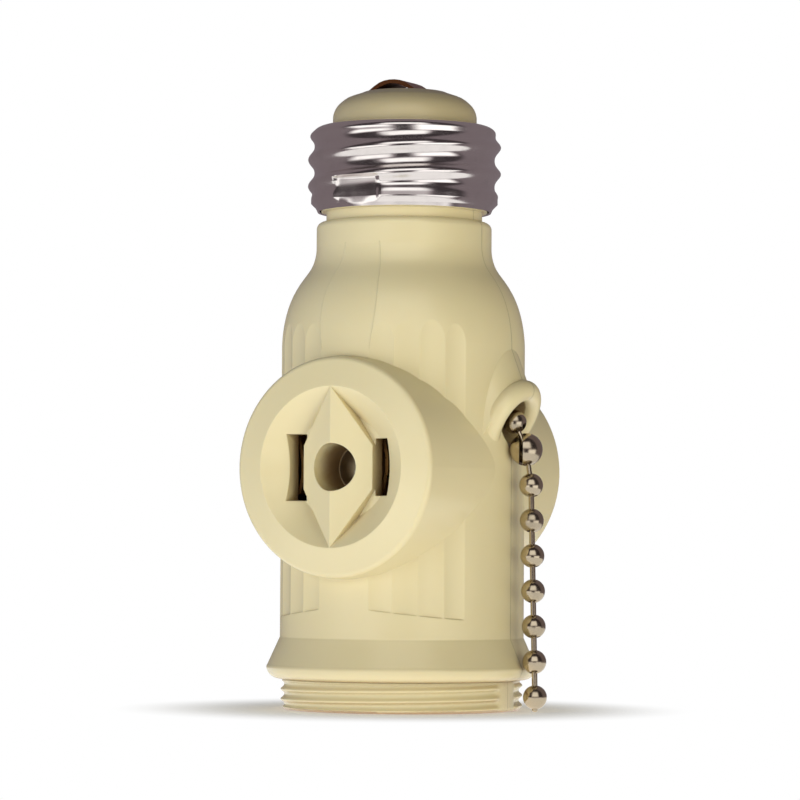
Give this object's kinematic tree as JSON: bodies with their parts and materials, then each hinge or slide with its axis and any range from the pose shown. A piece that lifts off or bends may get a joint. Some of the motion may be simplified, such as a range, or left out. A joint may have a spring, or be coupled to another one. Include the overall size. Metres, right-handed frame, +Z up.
{
  "type": "lamp socket adapter",
  "caption": "Moulded adapter with a screw base on top, two plug outlets, a pull-chain switch and a lampholder below.",
  "frame": {"origin": "centre of the lampholder's mouth, in the plane of the rim that the adapter stands on", "axes": "+Z up the axis towards the screw base, -Y out of the front outlet, +X towards the pull chain"},
  "size_m": [0.04, 0.04, 0.0855],
  "materials": {
    "ivory_plastic": "glossy ivory urea moulding",
    "cap_plastic": "satin ivory moulding",
    "nickel_plate": "bright nickel plate on drawn brass",
    "brass_strip": "plain rolled brass",
    "chain_nickel": "nickel-plated steel ball chain",
    "brown_phenolic": "dark brown phenolic and fibre",
    "spring_steel": "drawn spring wire",
    "rivet_steel": "plain steel"
  },
  "bodies": {
    "housing": {"front_housing": "ivory_plastic", "rear_housing": "ivory_plastic", "housing_rivet": "rivet_steel", "base_screw_shell": "nickel_plate", "base_insulator": "cap_plastic", "base_contact": "brass_strip", "lampholder_shell": "nickel_plate", "lampholder_floor": "brown_phenolic", "holder_rivets": "brass_strip", "lamp_centre_contact": "brass_strip", "tongue_rivet": "brass_strip", "front_neutral_contact": "brass_strip", "rear_neutral_contact": "brass_strip", "front_hot_contact": "brass_strip", "rear_hot_contact": "brass_strip", "neutral_bus": "brass_strip", "hot_bus": "brass_strip", "shell_strap": "brass_strip", "lamp_shell_strap": "brass_strip", "hot_riser": "brass_strip", "load_strap": "brass_strip", "switch_base": "brown_phenolic", "switch_axle": "rivet_steel", "return_spring": "spring_steel", "line_contact": "brass_strip", "load_contact": "brass_strip"},
    "pull_chain": {"inner_beads": "chain_nickel", "inner_links": "chain_nickel"},
    "lever": {"pull_lever": "rivet_steel"},
    "rotor": {"ratchet_rotor": "brown_phenolic", "rotor_contact": "brass_strip"},
    "coupling": {"chain_coupling": "chain_nickel", "coupling_link": "chain_nickel"},
    "chain_1": {"link_1": "chain_nickel", "bead_1": "chain_nickel"},
    "chain_2": {"link_2": "chain_nickel", "bead_2": "chain_nickel"},
    "chain_3": {"link_3": "chain_nickel", "bead_3": "chain_nickel"},
    "chain_4": {"link_4": "chain_nickel", "bead_4": "chain_nickel"},
    "chain_5": {"link_5": "chain_nickel", "bead_5": "chain_nickel"},
    "chain_6": {"link_6": "chain_nickel", "bead_6": "chain_nickel"},
    "chain_7": {"link_7": "chain_nickel", "bead_7": "chain_nickel", "end_link": "chain_nickel"}
  },
  "joints": [
    {"name": "chain_pull", "type": "slide", "parent": "housing", "child": "pull_chain", "axis": [0.4226, 0, -0.9063], "range_m": [0, 0.00746], "stiffness_N_per_m": 300, "springref_m": -0.01},
    {"name": "lever_turn", "type": "hinge", "parent": "housing", "child": "lever", "pos_m": [0.0034, 0, 0.04649], "axis": [0, 1, 0], "range_deg": [0, 45.5], "deforming": ["return_spring"]},
    {"name": "rotor_turn", "type": "hinge", "parent": "housing", "child": "rotor", "pos_m": [0.0034, 0, 0.04649], "axis": [0, 1, 0], "range_deg": [0, 45.5]},
    {"name": "coupling_swing", "type": "hinge", "parent": "pull_chain", "child": "coupling", "pos_m": [0.01696, 0, 0.0387], "axis": [0, -1, 0], "range_deg": [0, 40]},
    {"name": "bend_1", "type": "hinge", "parent": "coupling", "child": "chain_1", "pos_m": [0.0187, 0, 0.03497], "axis": [1, 0, 0], "range_deg": [-18, 18]},
    {"name": "bend_2", "type": "hinge", "parent": "chain_1", "child": "chain_2", "pos_m": [0.01945, 0, 0.0302], "axis": [0, -1, 0], "range_deg": [0, 18]},
    {"name": "bend_3", "type": "hinge", "parent": "chain_2", "child": "chain_3", "pos_m": [0.01957, 0, 0.02551], "axis": [1, 0, 0], "range_deg": [-18, 18]},
    {"name": "bend_4", "type": "hinge", "parent": "chain_3", "child": "chain_4", "pos_m": [0.01968, 0, 0.02083], "axis": [0, -1, 0], "range_deg": [0, 18]},
    {"name": "bend_5", "type": "hinge", "parent": "chain_4", "child": "chain_5", "pos_m": [0.0198, 0, 0.01614], "axis": [1, 0, 0], "range_deg": [-18, 18]},
    {"name": "bend_6", "type": "hinge", "parent": "chain_5", "child": "chain_6", "pos_m": [0.01992, 0, 0.01145], "axis": [0, -1, 0], "range_deg": [0, 18]},
    {"name": "bend_7", "type": "hinge", "parent": "chain_6", "child": "chain_7", "pos_m": [0.02003, 0, 0.00677], "axis": [1, 0, 0], "range_deg": [-18, 18]}
  ],
  "couplings": [
    {"joint": "lever_turn", "follows": "chain_pull", "rad_per_m": 105.34},
    {"joint": "rotor_turn", "follows": "chain_pull", "rad_per_m": 105.34}
  ]
}
